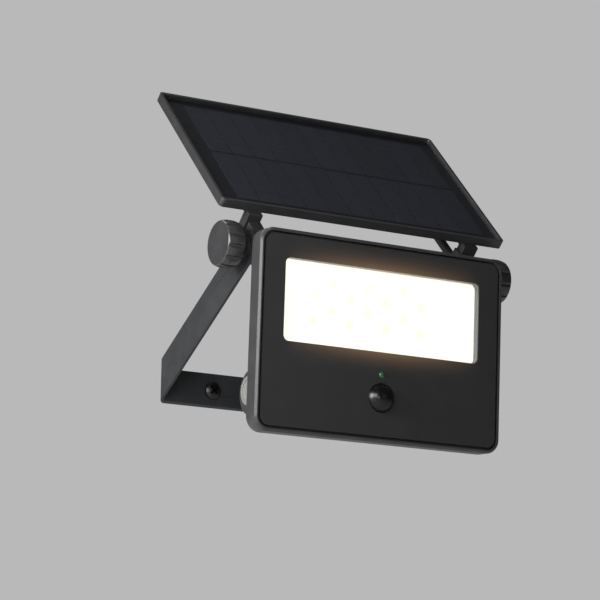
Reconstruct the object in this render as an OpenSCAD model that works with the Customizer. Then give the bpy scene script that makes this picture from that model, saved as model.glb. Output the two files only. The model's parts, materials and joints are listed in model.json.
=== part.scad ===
// Wall-mounted solar flood light: a lamp head and a solar panel share one clamped pivot axis
// on a U-shaped wall strap. Millimetres, +X along the wall, +Y into the wall, +Z up.
// The origin is the middle of the strap's wall face.

/* [Wall strap] */
// Width of the strap's steel strip
strap_w = 21.4; // [18:0.1:26]
// Thickness of the strip
strap_t = 2; // [1.5:0.1:2.5]
// Half of the width over both arms
strap_half = 81.4; // [81.4:0.1:82]
// Outer radius of each bend
bend_r = 4; // [3:0.5:6]
// How steeply the arms rise from the wall, in degrees
arm_rise = 32.4; // [30:0.1:35]
// Distance between the two wall screws
screw_pitch = 90; // [70:1:110]

/* [Pivot] */
// Distance of the pivot axis from the wall
pivot_out = 104.6; // [100:0.1:110]
// Height of the pivot axis above the strap's middle
pivot_up = 68.2; // [66:0.1:70]
// Radius of the clamp bolts
bolt_r = 3; // [2.5:0.05:3]
// Radial clearance of the bolts in every bore
bolt_gap = 0.08; // [0.05:0.01:0.1]

/* [Lamp head] */
// Width of the head
head_w = 169.8; // [168:0.1:171]
// Height of the head
head_h = 118.7; // [117:0.1:120]
// Corner radius of the head
head_r = 9; // [8:0.5:12]
// Depth of the head's rim
rim_depth = 10.4; // [10:0.1:10.8]
// Distance from the head's front plane back to the pivot axis
head_front = 24.7; // [24.5:0.1:26]
// Height of the head's top edge above the pivot axis
head_top = 8.9; // [8.5:0.1:9.2]
// Downward lean of the head, in degrees
head_lean = 1.9; // [0:0.1:4]
// Width of the window
window_w = 135.6; // [130:0.1:138]
// Height of the window
window_h = 48.9; // [46:0.1:50]

/* [Solar panel] */
// Width of the panel
panel_w = 200; // [196:1:204]
// Depth of the panel along its slope
panel_d = 118.9; // [117:0.1:122]
// Thickness of the panel
panel_t = 5.5; // [5.5:0.1:6]
// Slope of the panel above level, in degrees
panel_slope = 45.2; // [40:0.1:50]
// Number of cells along one row
cell_count = 11; // [11:1:12]
// Width of one cell with its gap
cell_pitch_x = 16; // [14:0.1:16]
// Depth of one cell with its gap
cell_pitch_y = 52; // [48:0.1:52]

/* [Knobs] */
// Largest radius of a knob
knob_r = 14.2; // [13:0.1:15]
// Distance of each knob's outer face from the middle
knob_face = 99.8; // [99:0.1:101]
// Number of flutes round a knob
flute_count = 12; // [10:1:14]

/* [Hidden] */
$fn = 64;
eps = 0.01;

bolt_hole_r = bolt_r + bolt_gap;
eye_r = strap_w / 2;
// Extra height of the arm's slanted end over the strip's own width
arm_end_h = strap_w / cos(arm_rise);

// Head, front to back: each value is a local y, with the pivot axis at y = 0
front_y = -head_front;
rim_back_y = front_y + rim_depth;
rim_wall = 2;
rim_bevel = 1.2;
panel_recess = 0.3;
groove_w = 1.5;
groove_depth = 2.3;
face_y = front_y + panel_recess;
face_t = 4.7;
seal_t = 0.8;
ledge_y = face_y + face_t + seal_t;
shell_t = 2;
box_back_y = -1.6;
box_half_w = 69;
box_top_z = -5;
head_mid_z = head_top - head_h / 2;
window_z = head_top - 16.5 - window_h / 2;
led_row_z = [-24.5, -32.5, -40.5, -48.5];
led_pitch = 25;
board_front_y = -6.2;
pir_z = head_top - 92.5;
pir_r = 8.7;
indicator_z = head_top - 78.7;
indicator_r = 2;
tube_r = 13.7;
tube_y = -7.4;
tube_z = -85.8;
tube_half = 78;
button_r = 8.6;
button_y = tube_y + 2.4;
button_z = tube_z + 1;
button_flange_r = 9;
lug_in = 56;
lug_out = 69.8;
lug_r = 9;
lug_low = -6;
nut_af = 10;
nut_t = 5;
housing_screw_xz = [
    [-40, 0.5], [40, 0.5], [-40, -102.6], [40, -102.6], [-75, -50], [75, -50]
];
screw_post_r = 2.4;

// Panel: local y runs up the slope and local z along the normal, with the pivot axis at 0
slope_start = 14.4;
slope_mid = slope_start + panel_d / 2;
panel_top = 21.4;
panel_under = panel_top - panel_t;
tray_floor = 1.4;
tray_rim = 1.8;
board_t = 1.4;
cell_t = 0.3;
board_z = panel_under + tray_floor;
cell_z = board_z + board_t;
glass_z = cell_z + cell_t + 0.15;
glass_t = 1.2;
arm_in = 70.1;
arm_out = 79.1;
arm_boss_r = 10;
arm_under = -6;
post_in = 71.6;
post_out = 81.2;
post_y = 11;
post_t = 7;
post_low = 4;
foot_t = 3;
foot_start = 22;
foot_end = 72;
arm_screw_y = [30, 48, 66];
cells_shift = 2.5;
lead_r = 2.8;
lead_x = 75;
lead_end_y = 9;
lead_bend_y = 46;
lead_bend_r = 20;
box_x = 71;
box_y = 96;
box_w = 46;
box_d = 34;
box_t = 13;
box_wall = 2.5;
box_lead_z = panel_under - 6.6;
knob_base = 82.7;
knob_face_r = 12.05;
barrel_r = 15;
flute_r = 1.4;
flute_out = 0.1;

module at_pivot() {
    translate([0, -pivot_out, pivot_up])
        children();
}

module in_head() {
    at_pivot()
        rotate([head_lean, 0, 0])
            children();
}

module in_panel() {
    at_pivot()
        rotate([panel_slope, 0, 0])
            children();
}

// Round bar along X from x0 to x1
module x_bar(r, x0, x1) {
    translate([x0, 0, 0])
        rotate([0, 90, 0])
            cylinder(r = r, h = x1 - x0);
}

// Round bar along Y from y0 to y1
module y_bar(r, y0, y1) {
    translate([0, y0, 0])
        rotate([-90, 0, 0])
            cylinder(r = r, h = y1 - y0);
}

// Rectangle with round corners
module round_rect(w, h, r) {
    square([w - 2 * r, h], center = true);
    square([w, h - 2 * r], center = true);
    for (x = [-1, 1], y = [-1, 1])
        translate([x * (w / 2 - r), y * (h / 2 - r)])
            circle(r = r);
}

// Upright plate in the XZ plane from y0 to y1, centred on height z
module upright(w, h, r, y0, y1, z = 0) {
    translate([0, y1, z])
        rotate([90, 0, 0])
            linear_extrude(y1 - y0)
                round_rect(w, h, r);
}

// Flat plate from z0 to z1, centred on y
module flat(w, d, r, z0, z1, y = 0) {
    translate([0, y, z0])
        linear_extrude(z1 - z0)
            round_rect(w, d, r);
}

// Both sides of a thing that is drawn on the +X side
module both_sides() {
    children();
    mirror([1, 0, 0])
        children();
}

// ---------------------------------------------------------------- wall strap

module strap_bend(r_out, r_in) {
    intersection() {
        difference() {
            circle(r = r_out);
            circle(r = r_in);
        }
        square(r_out);
    }
}

// Plan of the strap: a flat base on the wall, two bends and two arms
module strap_plan() {
    arm_len = pivot_out + eye_r;
    translate([-(strap_half - bend_r), -strap_t])
        square([2 * (strap_half - bend_r), strap_t]);
    for (side = [0, 1])
        mirror([side, 0]) {
            translate([strap_half - strap_t, -arm_len])
                square([strap_t, arm_len - bend_r]);
            translate([strap_half - bend_r, -bend_r])
                strap_bend(bend_r, bend_r - strap_t);
        }
}

// Side view of the arm, drawn as (distance from wall, height)
module strap_side() {
    low = -strap_w / 2;
    eye = [pivot_out, pivot_up];
    normal = [-sin(arm_rise), cos(arm_rise)];
    polygon([
        [-1, low],
        [0, low],
        eye - eye_r * normal,
        eye + eye_r * normal,
        [0, low + arm_end_h],
        [-1, low + arm_end_h]
    ]);
    translate(eye)
        circle(r = eye_r);
}

module wall_strap() {
    color("#2b2c2e")
        difference() {
            intersection() {
                translate([0, 0, -strap_w])
                    linear_extrude(pivot_up + 3 * strap_w)
                        strap_plan();
                rotate([90, 0, -90])
                    translate([0, 0, -strap_half - 1])
                        linear_extrude(2 * strap_half + 2)
                            strap_side();
            }
            translate([-strap_half + bend_r, -strap_t - 5, strap_w / 2])
                cube([2 * (strap_half - bend_r), 20, strap_w]);
            for (side = [-1, 1])
                translate([side * screw_pitch / 2, 0, 0])
                    y_bar(2.7, -strap_t - 1, 1);
            at_pivot()
                x_bar(bolt_hole_r, -strap_half - 1, strap_half + 1);
        }
}

// Pan-head screw with a cross recess, drawn along Y with its head's underside at y = 0
module pan_screw(head_r, head_t, neck_r, neck_l, shank_r, shank_l) {
    difference() {
        translate([0, -head_t, 0])
            rotate([-90, 0, 0])
                rotate_extrude()
                    intersection() {
                        translate([0, head_r * 1.6])
                            circle(r = head_r * 1.6);
                        square([head_r, head_t]);
                    }
        for (turn = [0, 90])
            rotate([0, turn + 45, 0])
                translate([-head_r * 0.55, -head_t - 1, -head_r * 0.11])
                    cube([head_r * 1.1, 1 + head_t * 0.55, head_r * 0.22]);
    }
    y_bar(neck_r, -eps, neck_l);
    y_bar(shank_r, neck_l - eps, neck_l + shank_l - shank_r);
    translate([0, neck_l + shank_l - shank_r - eps, 0])
        rotate([-90, 0, 0])
            cylinder(r1 = shank_r, r2 = 0.4, h = shank_r);
}

module wall_screws() {
    color("#1b1b1c")
        for (side = [-1, 1])
            translate([side * screw_pitch / 2, -strap_t, 0])
                pan_screw(5.2, 3.2, 2.5, strap_t, 2.2, 28);
}

module strap_washers() {
    color("#8d9093")
        at_pivot()
            both_sides()
                difference() {
                    x_bar(6, strap_half, strap_half + 1);
                    x_bar(bolt_hole_r, strap_half - 1, strap_half + 2);
                }
}

// ---------------------------------------------------------------- lamp head

// Outline of the battery tube seen along X, grown by g
module tube_outline(g) {
    translate([tube_y, tube_z])
        circle(r = tube_r + g);
    translate([rim_back_y - shell_t - eps, tube_z - tube_r - g])
        square([tube_y - rim_back_y + shell_t + eps, 2 * (tube_r + g)]);
}

module tube_solid(g, half) {
    rotate([90, 0, 90])
        translate([0, 0, -half])
            linear_extrude(2 * half)
                tube_outline(g);
}

module housing_lug() {
    difference() {
        union() {
            x_bar(lug_r, lug_in, lug_out);
            translate([lug_in, rim_back_y - 0.5, lug_low])
                cube([lug_out - lug_in, -rim_back_y + 0.5, head_top - lug_low]);
        }
        x_bar(bolt_hole_r, lug_in - 1, lug_out + 1);
        translate([lug_in - 1, 0, 0])
            rotate([0, 90, 0])
                rotate([0, 0, 30])
                    cylinder(r = (nut_af + 0.2) / 2 / cos(30), h = nut_t + 1.2, $fn = 6);
    }
}

// Rim of the head, with a bevel round its front edge
module housing_rim() {
    bevel = rim_bevel;
    upright(head_w, head_h, head_r, front_y + bevel, rim_back_y, head_mid_z);
    hull() {
        upright(head_w - 2 * bevel, head_h - 2 * bevel, head_r - bevel, front_y, front_y + 0.1,
            head_mid_z, $fn = 48);
        upright(head_w, head_h, head_r, front_y + bevel, front_y + bevel + 0.1,
            head_mid_z, $fn = 48);
    }
}

module housing_outer() {
    housing_rim();
    translate([-box_half_w, rim_back_y - eps, tube_z])
        cube([2 * box_half_w, box_back_y - rim_back_y + eps, box_top_z - tube_z]);
    tube_solid(0, tube_half);
}

module housing_inner() {
    upright(head_w - 2 * rim_wall, head_h - 2 * rim_wall, head_r - rim_wall,
        front_y - 1, ledge_y, head_mid_z);
    upright(head_w - 2 * rim_wall - 7, head_h - 2 * rim_wall - 7, 3,
        ledge_y - eps, rim_back_y - shell_t, head_mid_z);
    for (p = housing_screw_xz)
        translate([p[0], 0, p[1]])
            y_bar(screw_post_r + 0.3, ledge_y - eps, rim_back_y - shell_t);
    translate([-box_half_w + shell_t, rim_back_y - shell_t - 1, tube_z])
        cube([
            2 * (box_half_w - shell_t),
            box_back_y - shell_t - rim_back_y + shell_t + 1,
            box_top_z - shell_t - tube_z
        ]);
    tube_solid(-shell_t, tube_half - shell_t);
}

module rear_housing() {
    color("#2f3032")
        in_head() {
            difference() {
                housing_outer();
                housing_inner();
                translate([0, button_y, button_z])
                    x_bar(button_r + bolt_gap, -tube_half - 1, -tube_half + shell_t + 1);
                for (p = housing_screw_xz)
                    translate([p[0], 0, p[1]])
                        y_bar(1.7, rim_back_y - shell_t - 1, rim_back_y + 1);
            }
            both_sides()
                housing_lug();
        }
}

// Fascia: a raised face with a groove between it and the rim
module front_panel() {
    inset = rim_wall + groove_w;
    slip = 0.3;
    groove_y = face_y + groove_depth;
    color("#141516")
        in_head() {
            difference() {
                union() {
                    upright(head_w - 2 * inset, head_h - 2 * inset, head_r - inset,
                        face_y, face_y + face_t, head_mid_z);
                    upright(head_w - 2 * (rim_wall + slip), head_h - 2 * (rim_wall + slip),
                        head_r - rim_wall - slip, groove_y, face_y + face_t, head_mid_z);
                }
                upright(window_w, window_h, 3.5, face_y - 1, face_y + face_t + 1, window_z);
                translate([0, 0, pir_z])
                    y_bar(pir_r + 0.1, face_y - 1, face_y + face_t + 1);
                translate([0, 0, indicator_z])
                    y_bar(indicator_r + 0.1, face_y - 1, face_y + face_t + 1);
            }
            for (p = housing_screw_xz)
                translate([p[0], 0, p[1]])
                    difference() {
                        y_bar(screw_post_r, face_y + face_t - eps, rim_back_y - shell_t - 0.1);
                        y_bar(1.3, face_y + face_t, rim_back_y);
                    }
        }
}

module front_seal() {
    w = head_w - 2 * rim_wall - 0.8;
    h = head_h - 2 * rim_wall - 0.8;
    r = head_r - rim_wall - 0.4;
    width = 1.6;
    color("#505254")
        in_head()
            difference() {
                upright(w, h, r, face_y + face_t, ledge_y, head_mid_z);
                upright(w - 2 * width, h - 2 * width, r - width, face_y + face_t - 1, ledge_y + 1,
                    head_mid_z);
            }
}

module window_lens() {
    color("#dfe2e0", 0.5)
        in_head() {
            upright(window_w - 0.3, window_h - 0.3, 3.4, face_y + 0.6, face_y + face_t, window_z);
            upright(window_w + 5, window_h + 4, 4, face_y + face_t, face_y + face_t + 1,
                window_z);
        }
}

module reflector() {
    front = face_y + face_t + 1.1;
    back = board_front_y - 0.4;
    color("#e8e8e4")
        in_head()
            difference() {
                hull() {
                    upright(window_w + 2, window_h + 0.8, 3.5, front, front + 0.8, window_z);
                    upright(104, 36, 3.5, back - 0.8, back, window_z + 3.6);
                }
                hull() {
                    upright(window_w, window_h - 1.2, 3, front - 1, front, window_z);
                    upright(100, 32, 3, back, back + 1, window_z + 3.6);
                }
            }
}

module led_board() {
    color("#eceae0")
        in_head()
            upright(112, 40, 2, board_front_y, board_front_y + 1.6, window_z + 3.6);
}

module led_chip() {
    translate([-2.5, board_front_y - 0.9, -2.5])
        cube([5, 0.9, 5]);
}

module led_chips() {
    color("#f2d46a")
        in_head()
            for (row = [0 : 3])
                for (i = [0 : 2 + row % 2])
                    translate([(i - 1 - row % 2 / 2) * led_pitch, 0, head_top + led_row_z[row]])
                        led_chip();
}

module pir_lens() {
    dome_h = 6;
    wall = 1;
    skirt_y = face_y + face_t;
    ball_r = (pir_r * pir_r + dome_h * dome_h) / (2 * dome_h);
    color("#101112")
        in_head()
            translate([0, face_y, pir_z])
                rotate([90, 0, 0])
                    difference() {
                        union() {
                            intersection() {
                                translate([0, 0, dome_h - ball_r])
                                    sphere(r = ball_r);
                                cylinder(r = pir_r, h = dome_h + 1);
                            }
                            translate([0, 0, face_y - skirt_y])
                                cylinder(r = pir_r, h = skirt_y - face_y + eps);
                            translate([0, 0, face_y - skirt_y - 0.9])
                                cylinder(r = pir_r + 1.8, h = 0.9);
                        }
                        intersection() {
                            translate([0, 0, dome_h - ball_r])
                                sphere(r = ball_r - wall);
                            cylinder(r = pir_r, h = dome_h);
                        }
                        translate([0, 0, face_y - skirt_y - 2])
                            cylinder(r = pir_r - 1.4, h = skirt_y - face_y + 2 + eps);
                    }
}

module pir_sensor() {
    color("#b9bcc0")
        in_head()
            translate([0, 0, pir_z]) {
                y_bar(4.6, -22.4, -18.4);
                y_bar(5.2, -18.4 - eps, -17.6);
            }
}

module indicator_led() {
    color("#6fbf73")
        in_head()
            translate([0, 0, indicator_z]) {
                y_bar(indicator_r, face_y - 0.2, -17.6);
                intersection() {
                    translate([0, face_y + 1.4, 0])
                        sphere(r = sqrt(indicator_r * indicator_r + 1.6 * 1.6));
                    y_bar(indicator_r, face_y - 1.2, face_y);
                }
            }
}

module sensor_board() {
    color("#1f5a38")
        in_head()
            translate([-12, -17.6, -95])
                cube([21, 1.4, 29]);
}

module control_board() {
    color("#1f5a38")
        in_head()
            translate([-64, -9, -95])
                cube([48, 1.6, 31]);
}

module battery_cell() {
    color("#3d6fb0")
        in_head()
            translate([0, tube_y, tube_z]) {
                x_bar(9.2, 10.5, 73.5);
                x_bar(2.8, 73.5 - eps, 74.6);
            }
}

module battery_contacts() {
    color("#c9c6bb")
        in_head()
            for (x = [9.9, 74.7])
                translate([x, tube_y - 4, tube_z - 6])
                    cube([0.5, 8, 12]);
}

module mode_switch() {
    color("#2a2b2c")
        in_head()
            translate([0, button_y, button_z]) {
                translate([-71.5, -3, -3])
                    cube([3.5, 6, 6]);
                x_bar(1.6, -73.6, -71.5 + eps);
            }
}

module mode_button() {
    color("#c9cccd")
        in_head()
            translate([0, button_y, button_z]) {
                difference() {
                    x_bar(button_r, -tube_half - 0.9, -tube_half + shell_t + 0.3);
                    x_bar(button_r - 1.6, -tube_half - 2, -tube_half - 0.5);
                }
                x_bar(button_flange_r, -tube_half + shell_t + 0.3 - eps, -tube_half + shell_t + 1.3);
            }
}

module housing_screws() {
    color("#8d9093")
        in_head()
            for (p = housing_screw_xz)
                translate([p[0], rim_back_y, p[1]])
                    rotate([0, 0, 180])
                        pan_screw(2.6, 1.8, 1.5, shell_t, 1.25, 3.4);
}

module pivot_nuts() {
    color("#9da0a3")
        at_pivot()
            rotate([head_lean, 0, 0])
                both_sides()
                    difference() {
                        translate([lug_in + 0.1, 0, 0])
                            rotate([0, 90, 0])
                                rotate([0, 0, 30])
                                    cylinder(r = nut_af / 2 / cos(30), h = nut_t, $fn = 6);
                        x_bar(bolt_r + 0.05, lug_in - 1, lug_in + nut_t + 1);
                    }
}

// ---------------------------------------------------------------- solar panel

module panel_tray() {
    color("#232426")
        in_panel()
            difference() {
                flat(panel_w, panel_d, 2.5, panel_under, panel_top, slope_mid);
                flat(panel_w - 2 * tray_rim, panel_d - 2 * tray_rim, 1.6,
                    panel_under + tray_floor, panel_top + 1, slope_mid);
                translate([box_x, box_y, 0])
                    cylinder(r = 3, h = panel_top);
                both_sides()
                    for (y = arm_screw_y)
                        translate([arm_in - 6, y, 0])
                            cylinder(r = 1.3, h = panel_top);
            }
}

module cell_board() {
    color("#15161a")
        in_panel()
            flat(panel_w - 2 * tray_rim - 0.4, panel_d - 2 * tray_rim - 0.4, 1.4,
                board_z, cell_z, slope_mid);
}

module cell_place(i, row) {
    translate([
        cells_shift + (i - (cell_count - 1) / 2) * cell_pitch_x,
        slope_mid + (row - 0.5) * cell_pitch_y,
        0
    ])
        children();
}

module solar_cells() {
    color("#1d2740")
        in_panel()
            for (row = [0, 1], i = [0 : cell_count - 1])
                cell_place(i, row)
                    translate([-cell_pitch_x / 2 + 0.5, -cell_pitch_y / 2 + 0.8, cell_z])
                        cube([cell_pitch_x - 1, cell_pitch_y - 1.6, cell_t]);
}

module cell_ribbons() {
    ribbon_t = 0.12;
    length = cell_count * cell_pitch_x - 3;
    color("#b9bcc0")
        in_panel()
            for (row = [0, 1], along = [-0.25, 0.25])
                translate([
                    cells_shift - length / 2,
                    slope_mid + (row - 0.5 + along) * cell_pitch_y - 0.6,
                    cell_z + cell_t
                ])
                    cube([length, 1.2, ribbon_t]);
}

module panel_glass() {
    color("#5a6a80", 0.3)
        in_panel()
            flat(panel_w - 2 * tray_rim - 0.4, panel_d - 2 * tray_rim - 0.4, 1.4,
                glass_z, glass_z + glass_t, slope_mid);
}

// Closed box under the tray that the lead comes out of
module junction_box() {
    lid_z = panel_under - box_t;
    color("#1e1f20")
        in_panel()
            translate([box_x, 0, 0])
                difference() {
                    flat(box_w, box_d, 4, lid_z, panel_under, box_y);
                    flat(box_w - 2 * box_wall, box_d - 2 * box_wall, 2, lid_z + 2, panel_under + 1,
                        box_y);
                    translate([lead_x - box_x, 0, box_lead_z])
                        y_bar(5, box_y - box_d / 2 - 1, box_y - box_d / 2 + box_wall + 1);
                }
}

// Cable gland: a collar and a clamp dome on the wall at y = 0, with a spigot through the wall
module gland(spigot_r, spigot_l, collar_r) {
    dome_r = collar_r - 0.8;
    difference() {
        union() {
            y_bar(spigot_r, -spigot_l, eps);
            y_bar(collar_r, 0, 1.6);
            y_bar(dome_r, 1.6 - eps, 4.6);
            translate([0, 4.6 - eps, 0])
                rotate([-90, 0, 0])
                    cylinder(r1 = dome_r, r2 = lead_r + 0.5, h = 1.6);
        }
        y_bar(lead_r, -spigot_l - 1, 8);
    }
}

// One gland on the junction box and one on the back of the right arm
module lead_glands() {
    color("#1b1c1d")
        in_panel() {
            translate([lead_x, box_y - box_d / 2, box_lead_z])
                rotate([0, 0, 180])
                    gland(4.9, box_wall, 6);
            translate([lead_x, post_y + post_t, 0])
                gland(3.6, 5, 4.5);
        }
}

// The lead: straight along the slope behind the arm, two easy bends up to the junction box
module panel_lead() {
    turn = acos(1 - box_lead_z / (2 * lead_bend_r));
    lift = lead_bend_r * (1 - cos(turn));
    run = lead_bend_r * sin(turn);
    color("#161718")
        in_panel()
            translate([lead_x, 0, 0]) {
                y_bar(lead_r, lead_end_y, lead_bend_y + eps);
                translate([0, lead_bend_y, lead_bend_r])
                    rotate([0, 90, 0])
                        rotate_extrude(angle = turn + 0.1)
                            translate([lead_bend_r, 0])
                                circle(r = lead_r);
                translate([0, lead_bend_y + 2 * run, 2 * lift - lead_bend_r])
                    rotate([0, 90, 0])
                        rotate([0, 0, 180])
                            rotate_extrude(angle = turn)
                                translate([lead_bend_r, 0])
                                    circle(r = lead_r);
                translate([0, 0, box_lead_z])
                    y_bar(lead_r, lead_bend_y + 2 * run - eps, box_y - box_d / 2 + box_wall + 2);
            }
}

// Side view of a panel arm as (y, z): hub round the pivot, and the block behind it
module arm_hub_side() {
    circle(r = arm_boss_r);
    translate([0, arm_under])
        square([post_y + post_t, arm_boss_r - arm_under]);
}

module panel_arm() {
    in_panel()
        difference() {
            union() {
                translate([arm_in, 0, 0])
                    rotate([90, 0, 90])
                        linear_extrude(arm_out - arm_in)
                            arm_hub_side();
                translate([post_in, post_y, post_low])
                    cube([post_out - post_in, post_t, panel_under - post_low]);
                translate([post_in, post_y, panel_under - foot_t])
                    cube([post_out - post_in, foot_end - post_y, foot_t]);
                translate([arm_in - 12, foot_start, panel_under - foot_t])
                    cube([post_in - arm_in + 12 + eps, foot_end - foot_start, foot_t]);
            }
            x_bar(bolt_hole_r, arm_in - 1, arm_out + 1);
            for (y = arm_screw_y)
                translate([arm_in - 6, y, 0])
                    cylinder(r = 1.7, h = panel_top);
        }
}

// The right arm has a bore for the lead
module panel_arm_right() {
    color("#28292b")
        difference() {
            panel_arm();
            in_panel()
                translate([lead_x, 0, 0]) {
                    y_bar(lead_r + 0.1, lead_end_y - 1, post_y + post_t);
                    y_bar(3.6, post_y + post_t - 5, post_y + post_t + 1);
                }
        }
}

module panel_arm_left() {
    color("#28292b")
        mirror([1, 0, 0])
            panel_arm();
}

module arm_screws() {
    color("#8d9093")
        in_panel()
            both_sides()
                for (y = arm_screw_y)
                    translate([arm_in - 6, y, panel_under - foot_t])
                        rotate([90, 0, 0])
                            pan_screw(2.9, 1.8, 1.5, 3, 1.25, 1.3);
}

// ---------------------------------------------------------------- knobs

module knob_profile() {
    difference() {
        circle(r = knob_r);
        for (i = [0 : flute_count - 1])
            rotate([0, 0, (i + 0.5) * 360 / flute_count])
                translate([knob_r + flute_out, 0])
                    circle(r = flute_r);
    }
}

// Half outline of the grip as (radius, x): barrel-shaped, with a round outer edge
module grip_outline(start) {
    edge = 1.6;
    middle = (start + knob_face) / 2;
    intersection() {
        translate([knob_r - barrel_r, middle])
            circle(r = barrel_r, $fn = 128);
        union() {
            translate([0, start])
                square([knob_r, knob_face - edge - start]);
            translate([0, start])
                square([knob_face_r, knob_face - start]);
            translate([knob_face_r, knob_face - edge])
                circle(r = edge);
        }
        translate([0, start])
            square([knob_r, knob_face - start]);
    }
}

// Knob on the +X side: a hub against the washer and a fluted grip
module knob() {
    grip_start = knob_face - 11.2;
    at_pivot()
        difference() {
            union() {
                intersection() {
                    translate([grip_start, 0, 0])
                        rotate([90, 0, 90])
                            linear_extrude(knob_face - grip_start)
                                knob_profile();
                    rotate([0, 90, 0])
                        rotate_extrude()
                            grip_outline(grip_start);
                }
                x_bar(8, knob_base, grip_start + eps);
            }
            x_bar(bolt_r, knob_base - 1, knob_base + 10.5);
        }
}

module right_knob() {
    color("#2a2b2d")
        knob();
}

module left_knob() {
    color("#2a2b2d")
        mirror([1, 0, 0])
            knob();
}

module clamp_bolt() {
    at_pivot()
        x_bar(bolt_r, lug_in - 2, knob_base + 10.5);
}

module right_bolt() {
    color("#9da0a3")
        clamp_bolt();
}

module left_bolt() {
    color("#9da0a3")
        mirror([1, 0, 0])
            clamp_bolt();
}

wall_strap();
wall_screws();
strap_washers();
rear_housing();
front_panel();
front_seal();
window_lens();
reflector();
led_board();
led_chips();
pir_lens();
pir_sensor();
indicator_led();
sensor_board();
control_board();
battery_cell();
battery_contacts();
mode_switch();
housing_screws();
pivot_nuts();
mode_button();
panel_tray();
cell_board();
solar_cells();
cell_ribbons();
panel_glass();
junction_box();
lead_glands();
panel_lead();
panel_arm_left();
panel_arm_right();
arm_screws();
left_knob();
left_bolt();
right_knob();
right_bolt();
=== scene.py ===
"""Solar flood light: looks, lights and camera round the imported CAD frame. Metres, +Z up."""
import json
import math

import bmesh
import bpy
from mathutils import Matrix, Vector


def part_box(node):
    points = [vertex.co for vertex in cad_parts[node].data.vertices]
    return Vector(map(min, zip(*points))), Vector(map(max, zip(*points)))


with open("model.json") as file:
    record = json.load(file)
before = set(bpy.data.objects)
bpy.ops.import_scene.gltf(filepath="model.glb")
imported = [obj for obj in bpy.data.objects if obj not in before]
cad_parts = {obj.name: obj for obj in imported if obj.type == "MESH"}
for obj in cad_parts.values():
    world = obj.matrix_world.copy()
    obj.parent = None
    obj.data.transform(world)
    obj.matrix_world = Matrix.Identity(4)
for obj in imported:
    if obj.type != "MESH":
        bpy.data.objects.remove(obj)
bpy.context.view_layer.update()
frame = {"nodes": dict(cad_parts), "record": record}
NODES = frame["nodes"]

MM = 0.001
PIVOT = Vector((0.0, -104.6 * MM, 68.2 * MM))
PANEL_SLOPE = math.radians(45.2)
CELL_PITCH_X = 16 * MM
CELL_EDGE_X = -85.5 * MM
PANEL_MIDDLE = 73.85 * MM
FINGER_PITCH = 1.3 * MM
FINGER_SHARE = 0.14
LENS_FLANGE = 2.5 * MM
# Reach of the painted glow that emission puts on the fascia round the window.
PAINTED_GLOW_REACH = 17 * MM
FLOOR_Z = -0.32


# ---------------------------------------------------------------- shader helpers

class Shader:
    """A material with a Principled shader and short calls for the nodes round it."""

    def __init__(self, name, **sockets):
        self.material = bpy.data.materials.new(name)
        self.material.use_nodes = True
        self.tree = self.material.node_tree
        self.bsdf = self.tree.nodes["Principled BSDF"]
        for socket, value in sockets.items():
            self.bsdf.inputs[socket.replace("_", " ")].default_value = value

    def node(self, kind, **settings):
        made = self.tree.nodes.new("ShaderNode" + kind)
        for key, value in settings.items():
            setattr(made, key, value)
        return made

    def link(self, source, target):
        self.tree.links.new(source, target)

    def place(self, location=(0, 0, 0), rotation=(0, 0, 0)):
        """Object coordinates, in the axes of a piece that is turned and set at a place."""
        coords = self.node("TexCoord").outputs["Object"]
        if tuple(location) == (0, 0, 0) and rotation == (0, 0, 0):
            return coords
        mapping = self.node("Mapping", vector_type="TEXTURE")
        mapping.inputs["Location"].default_value = location
        mapping.inputs["Rotation"].default_value = rotation
        self.link(coords, mapping.inputs["Vector"])
        return mapping.outputs["Vector"]

    def noise(self, size, detail=2.0):
        """Noise whose features are about size metres across."""
        made = self.node("TexNoise")
        made.inputs["Scale"].default_value = 1.0 / size
        made.inputs["Detail"].default_value = detail
        self.link(self.place(), made.inputs["Vector"])
        return made.outputs["Fac"]

    def ramp(self, factor, stops):
        """Colours along factor: stops are (place, colour) with linear RGB colours."""
        made = self.node("ValToRGB")
        elements = made.color_ramp.elements
        while len(elements) < len(stops):
            elements.new(0.5)
        for element, (place, colour) in zip(elements, stops):
            element.position = place
            element.color = (*colour, 1.0)
        self.link(factor, made.inputs["Fac"])
        return made.outputs["Color"]

    def spread(self, factor, low, high):
        """Factor from 0.3 to 0.7, stretched over low to high."""
        made = self.node("MapRange")
        made.inputs["From Min"].default_value = 0.3
        made.inputs["From Max"].default_value = 0.7
        made.inputs["To Min"].default_value = low
        made.inputs["To Max"].default_value = high
        self.link(factor, made.inputs["Value"])
        return made.outputs["Result"]

    def math(self, operation, a, b=None, clamp=False):
        made = self.node("Math", operation=operation, use_clamp=clamp)
        for socket, value in zip(made.inputs, (a, b)):
            if value is None:
                continue
            if isinstance(value, (int, float)):
                socket.default_value = value
            else:
                self.link(value, socket)
        return made.outputs[0]

    def bump(self, height, distance):
        made = self.node("Bump")
        made.inputs["Distance"].default_value = distance
        self.link(height, made.inputs["Height"])
        return made.outputs["Normal"]

    def to(self, **links):
        for socket, source in links.items():
            self.link(source, self.bsdf.inputs[socket.replace("_", " ")])


def tint(colour, factor):
    return tuple(min(1.0, c * factor) for c in colour)


def moulded(name, colour, roughness, grain=0.35 * MM, grain_depth=0.012 * MM, **sockets):
    """Moulded plastic or powder coat: fine grain, slight mottling and uneven sheen."""
    shader = Shader(name, **sockets)
    mottle = shader.noise(14 * MM, 3.0)
    fine = shader.noise(grain, 2.0)
    shader.to(
        Base_Color=shader.ramp(mottle, [(0.3, tint(colour, 0.86)), (0.7, tint(colour, 1.14))]),
        Roughness=shader.spread(shader.noise(5 * MM, 4.0), roughness - 0.05, roughness + 0.06),
        Normal=shader.bump(fine, grain_depth),
    )
    return shader.material


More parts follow.
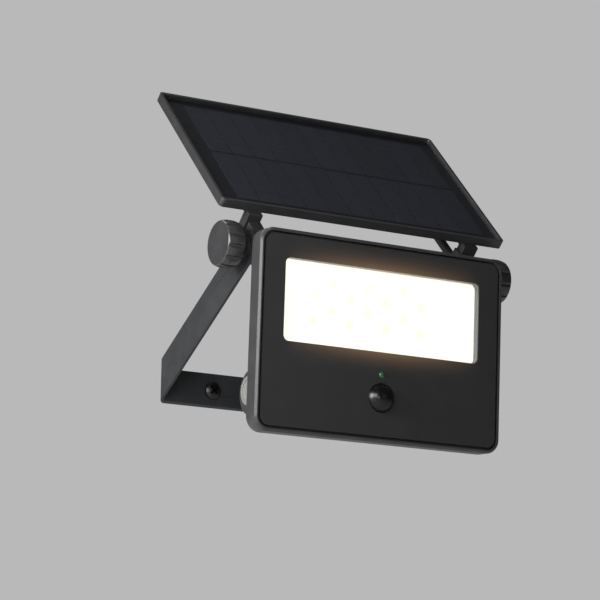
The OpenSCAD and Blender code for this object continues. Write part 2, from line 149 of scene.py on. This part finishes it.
def metal(name, colour, roughness):
    """Plated or bare metal with fine drawn lines and slight tarnish."""
    shader = Shader(name, Metallic=1.0)
    stain = shader.noise(3 * MM, 4.0)
    shader.to(
        Base_Color=shader.ramp(stain, [(0.3, tint(colour, 0.8)), (0.7, colour)]),
        Roughness=shader.spread(shader.noise(1.2 * MM, 3.0), roughness - 0.08, roughness + 0.1),
        Normal=shader.bump(shader.noise(0.4 * MM, 2.0), 0.01 * MM),
    )
    return shader.material


# ---------------------------------------------------------------- materials

def fascia_material():
    """Fine-grained black fascia, with a painted warm glow just above and below the lit window:
    emission stands in for the window's light falling on it.
    """
    low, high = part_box("window_lens")
    middle = (low + high) / 2
    half_w = (high.x - low.x) / 2 - LENS_FLANGE
    half_h = (high.z - low.z) / 2 - LENS_FLANGE
    shader = Shader("fascia_black", Specular_IOR_Level=0.5)
    mottle = shader.noise(18 * MM, 3.0)
    split = shader.node("SeparateXYZ")
    shader.link(shader.place(middle), split.inputs["Vector"])
    along = shader.math("DIVIDE", shader.math("ABSOLUTE", split.outputs["X"]), half_w)
    ends = shader.math("SUBTRACT", 1.0, shader.math("POWER", along, 1.7), clamp=True)
    away = shader.math("SUBTRACT", shader.math("ABSOLUTE", split.outputs["Z"]), half_h)
    near = shader.math("SUBTRACT", 1.0, shader.math("DIVIDE", away, PAINTED_GLOW_REACH), clamp=True)
    # Painted glow: warm emission, fading away from the window's edges and ends, stands in for
    # the window's light on the fascia.
    painted_window_glow = shader.ramp(shader.math("MULTIPLY", shader.math("POWER", near, 3.0), ends), [
        (0.0, (0.0, 0.0, 0.0)), (1.0, (0.125, 0.072, 0.034))])
    shader.bsdf.inputs["Emission Strength"].default_value = 1.15
    shader.to(
        Base_Color=shader.ramp(mottle, [
            (0.3, (0.0195, 0.0197, 0.0202)), (0.7, (0.0225, 0.0227, 0.0233))]),
        Roughness=shader.spread(shader.noise(4 * MM, 4.0), 0.38, 0.47),
        Normal=shader.bump(shader.noise(0.3 * MM, 2.0), 0.008 * MM),
        Emission_Color=painted_window_glow,
    )
    return shader.material


def glowing(name, colour, strength, uneven=0.06, size=20 * MM):
    """A white surface that glows by emission, slightly uneven in strength: the LED chips' own
    light, and painted light on the board and reflector.
    """
    shader = Shader(name, Roughness=0.4, Base_Color=(0.25, 0.25, 0.23, 1.0))
    light = shader.ramp(shader.noise(size, 2.0), [
        (0.3, tint(colour, 1 - uneven)), (0.7, colour)])
    shader.bsdf.inputs["Emission Strength"].default_value = strength
    shader.to(Emission_Color=light)
    return shader.material


def clear(name, colour, alpha, roughness, gloss):
    """Thin clear plastic: mostly seen through, with a glossy skin."""
    shader = Shader(name, Specular_IOR_Level=gloss, Alpha=alpha)
    shader.to(
        Base_Color=shader.ramp(shader.noise(20 * MM, 2.0), [
            (0.3, tint(colour, 0.94)), (0.7, colour)]),
        Roughness=shader.spread(shader.noise(6 * MM, 3.0), roughness, roughness + 0.04),
    )
    return shader.material


def cell_material():
    """Dark blue cells with fine fingers along the panel, and a slightly different shade each."""
    shader = Shader("cell_silicon", Specular_IOR_Level=0.3)
    split = shader.node("SeparateXYZ")
    local = shader.place(PIVOT, (PANEL_SLOPE, 0, 0))
    shader.link(local, split.inputs["Vector"])
    across = shader.math("SUBTRACT", split.outputs["X"], CELL_EDGE_X)
    column = shader.math("FLOOR", shader.math("DIVIDE", across, CELL_PITCH_X))
    row = shader.math("FLOOR", shader.math("DIVIDE", split.outputs["Y"], PANEL_MIDDLE))
    cell = shader.node("CombineXYZ")
    shader.link(column, cell.inputs["X"])
    shader.link(row, cell.inputs["Y"])
    shade = shader.node("TexWhiteNoise", noise_dimensions="3D")
    shader.link(cell.outputs[0], shade.inputs["Vector"])
    base = shader.ramp(shade.outputs["Value"], [
        (0.0, (0.0190, 0.0215, 0.0270)),
        (0.5, (0.0210, 0.0245, 0.0330)),
        (1.0, (0.0230, 0.0270, 0.0390)),
    ])
    finger = shader.math("LESS_THAN", shader.math(
        "FRACT", shader.math("DIVIDE", split.outputs["Y"], FINGER_PITCH)), FINGER_SHARE)
    mix = shader.node("Mix", data_type="RGBA")
    mix.inputs["B"].default_value = (0.024, 0.028, 0.036, 1)
    shader.link(finger, mix.inputs["Factor"])
    shader.link(base, mix.inputs["A"])
    shader.to(
        Base_Color=mix.outputs["Result"],
        Roughness=shader.spread(shader.noise(3 * MM, 3.0), 0.34, 0.44),
    )
    return shader.material


MATERIALS = {
    "strap_steel": moulded("strap_powder_coat", (0.024, 0.025, 0.0265), 0.46,
                           grain=0.8 * MM, grain_depth=0.03 * MM, Specular_IOR_Level=0.35),
    "black_screw_steel": metal("black_oxide", (0.05, 0.05, 0.052), 0.38),
    "zinc_steel": metal("zinc_plate", (0.62, 0.63, 0.65), 0.32),
    "housing_plastic": moulded("housing_black", (0.032, 0.032, 0.033), 0.36),
    "fascia_plastic": fascia_material(),
    "seal_rubber": moulded("seal_rubber", (0.012, 0.012, 0.012), 0.8),
    "clear_lens": clear("window_clear", (0.96, 0.96, 0.94), 0.08, 0.12, 0.3),
    # Painted light: the reflector and board glow by emission in place of the LED chips' light
    # falling on them; the chips' glow is their own light.
    "reflector_white": glowing("reflector_painted_glow", (1.0, 0.985, 0.83), 1.0, 0.03, 30 * MM),
    "board_white": glowing("board_painted_glow", (1.0, 1.0, 0.93), 1.0, 0.02),
    "led_phosphor": glowing("chip_lit", (0.96, 1.0, 0.72), 0.98, 0.03, 4 * MM),
    "dome_plastic": moulded("dome_gloss_black", (0.003, 0.003, 0.003), 0.25,
                            grain_depth=0.001 * MM, Specular_IOR_Level=0.35),
    "sensor_can": metal("sensor_can", (0.6, 0.6, 0.6), 0.3),
    "indicator_green": moulded("indicator_green", (0.02, 0.075, 0.03), 0.18,
                               grain_depth=0.002 * MM),
    "board_green": moulded("board_green", (0.02, 0.12, 0.05), 0.4),
    "battery_wrap": moulded("battery_wrap", (0.05, 0.14, 0.36), 0.3),
    "nickel": metal("nickel", (0.6, 0.59, 0.55), 0.35),
    "ribbon_dark": moulded("ribbon_dark", (0.022, 0.024, 0.029), 0.42),
    "switch_plastic": moulded("switch_black", (0.02, 0.02, 0.02), 0.5),
    "gland_nylon": moulded("gland_nylon", (0.022, 0.022, 0.023), 0.5),
    "lead_rubber": moulded("lead_rubber", (0.020, 0.020, 0.021), 0.42),
    "button_silicone": moulded("button_silicone", (0.15, 0.15, 0.143), 0.42,
                               Subsurface_Weight=0.1),
    "tray_plastic": moulded("tray_black", (0.024, 0.024, 0.024), 0.42,
                            Specular_IOR_Level=0.4),
    "cell_backing": moulded("cell_backing", (0.004, 0.004, 0.0045), 0.42,
                            Specular_IOR_Level=0.3),
    "cell_silicon": cell_material(),
    "panel_cover": clear("panel_cover", (0.02, 0.022, 0.03), 0.15, 0.3, 0.2),
    "arm_plastic": moulded("arm_black", (0.024, 0.024, 0.024), 0.42),
    "knob_plastic": moulded("knob_black", (0.030, 0.030, 0.031), 0.22, grain_depth=0.004 * MM),
}
for part in frame["record"]["subparts"]:
    mesh = NODES[part["node"]].data
    mesh.materials.clear()
    look = "ribbon_dark" if part["node"] == "cell_ribbons" else part["material_slot"]
    mesh.materials.append(MATERIALS[look])


# ---------------------------------------------------------------- softened edges

EDGE_MM = {
    "wall_strap": 0.35, "rear_housing": 0.5, "window_lens": 0.3,
    "panel_tray": 0.7, "panel_arm_left": 0.6, "panel_arm_right": 0.6, "junction_box": 1.0,
    "left_knob": 0.4, "right_knob": 0.4, "lead_glands": 0.3,
    "mode_button": 0.6, "wall_screws": 0.2, "pivot_nuts": 0.3,
}
for name, width in EDGE_MM.items():
    node = NODES[name]
    weld = node.modifiers.new("weld", "WELD")
    weld.merge_threshold = 0.002 * MM
    bevel = node.modifiers.new("edges", "BEVEL")
    bevel.width = width * MM
    bevel.segments = 3
    bevel.limit_method = "ANGLE"
    bevel.angle_limit = math.radians(32)
    bevel.harden_normals = True


# ---------------------------------------------------------------- floor, lights, camera

def area_light(name, place, size, power):
    """Soft rectangular light aimed at the pivot."""
    lamp = bpy.data.lights.new(name, "AREA")
    lamp.shape = "RECTANGLE"
    lamp.size, lamp.size_y = size
    lamp.energy = power
    obj = bpy.data.objects.new(name, lamp)
    obj.location = place
    obj.rotation_euler = (PIVOT - Vector(place)).to_track_quat("-Z", "Y").to_euler()
    bpy.context.scene.collection.objects.link(obj)


def make_floor():
    mesh = bpy.data.meshes.new("floor")
    work = bmesh.new()
    bmesh.ops.create_grid(work, x_segments=1, y_segments=1, size=6.0)
    work.to_mesh(mesh)
    work.free()
    floor = bpy.data.objects.new("floor", mesh)
    floor.location = (0, 0, FLOOR_Z)
    shader = Shader("floor_pale", Roughness=0.8)
    shader.to(Base_Color=shader.ramp(shader.noise(0.4, 2.0), [
        (0.3, (0.60, 0.60, 0.605)), (0.7, (0.63, 0.63, 0.635))]))
    mesh.materials.append(shader.material)
    bpy.context.scene.collection.objects.link(floor)


def make_world():
    """Pale backdrop for the camera, and a dimmer one for the light that falls on the object."""
    world = bpy.data.worlds.new("studio")
    world.use_nodes = True
    tree = world.node_tree
    seen = tree.nodes["Background"]
    seen.inputs["Color"].default_value = (0.485, 0.485, 0.492, 1)
    dim = tree.nodes.new("ShaderNodeBackground")
    dim.inputs["Color"].default_value = (0.06, 0.06, 0.062, 1)
    rays = tree.nodes.new("ShaderNodeLightPath")
    mix = tree.nodes.new("ShaderNodeMixShader")
    tree.links.new(rays.outputs["Is Camera Ray"], mix.inputs["Fac"])
    tree.links.new(dim.outputs["Background"], mix.inputs[1])
    tree.links.new(seen.outputs["Background"], mix.inputs[2])
    tree.links.new(mix.outputs["Shader"], tree.nodes["World Output"].inputs["Surface"])
    bpy.context.scene.world = world


def make_camera():
    """Camera in front of the light, to its left and a little below, turned up to it."""
    azimuth, rise, roll = math.radians(30.73), math.radians(11.27), math.radians(0.95)
    forward = Vector((math.sin(azimuth) * math.cos(rise), math.cos(azimuth) * math.cos(rise),
                      math.sin(rise)))
    level = Vector((math.cos(azimuth), -math.sin(azimuth), 0.0))
    upright = level.cross(forward)
    right = math.cos(roll) * level + math.sin(roll) * upright
    up = -math.sin(roll) * level + math.cos(roll) * upright
    data = bpy.data.cameras.new("camera")
    data.sensor_width = 36.0
    data.lens = 152.5
    data.clip_end = 50.0
    camera = bpy.data.objects.new("camera", data)
    turn = Matrix((right, up, -forward)).transposed().to_4x4()
    camera.matrix_world = Matrix.Translation((-0.7940, -1.3667, -0.2517)) @ turn
    bpy.context.scene.collection.objects.link(camera)
    bpy.context.scene.camera = camera


make_floor()
make_world()
make_camera()
area_light("key", (-1.7, -0.25, 0.42), (0.8, 0.8), 48.0)
area_light("near", (-0.30, -0.34, 0.08), (0.16, 0.16), 0.8)
area_light("front", (-0.62, -1.2, -0.05), (0.08, 0.08), 1.2)
area_light("sheen", (0.25, -1.25, 0.2), (0.5, 0.5), 0.3)
area_light("top", (-0.7, 1.3, 3.4), (3.0, 3.0), 90.0)
bpy.context.scene.view_settings.view_transform = "Standard"
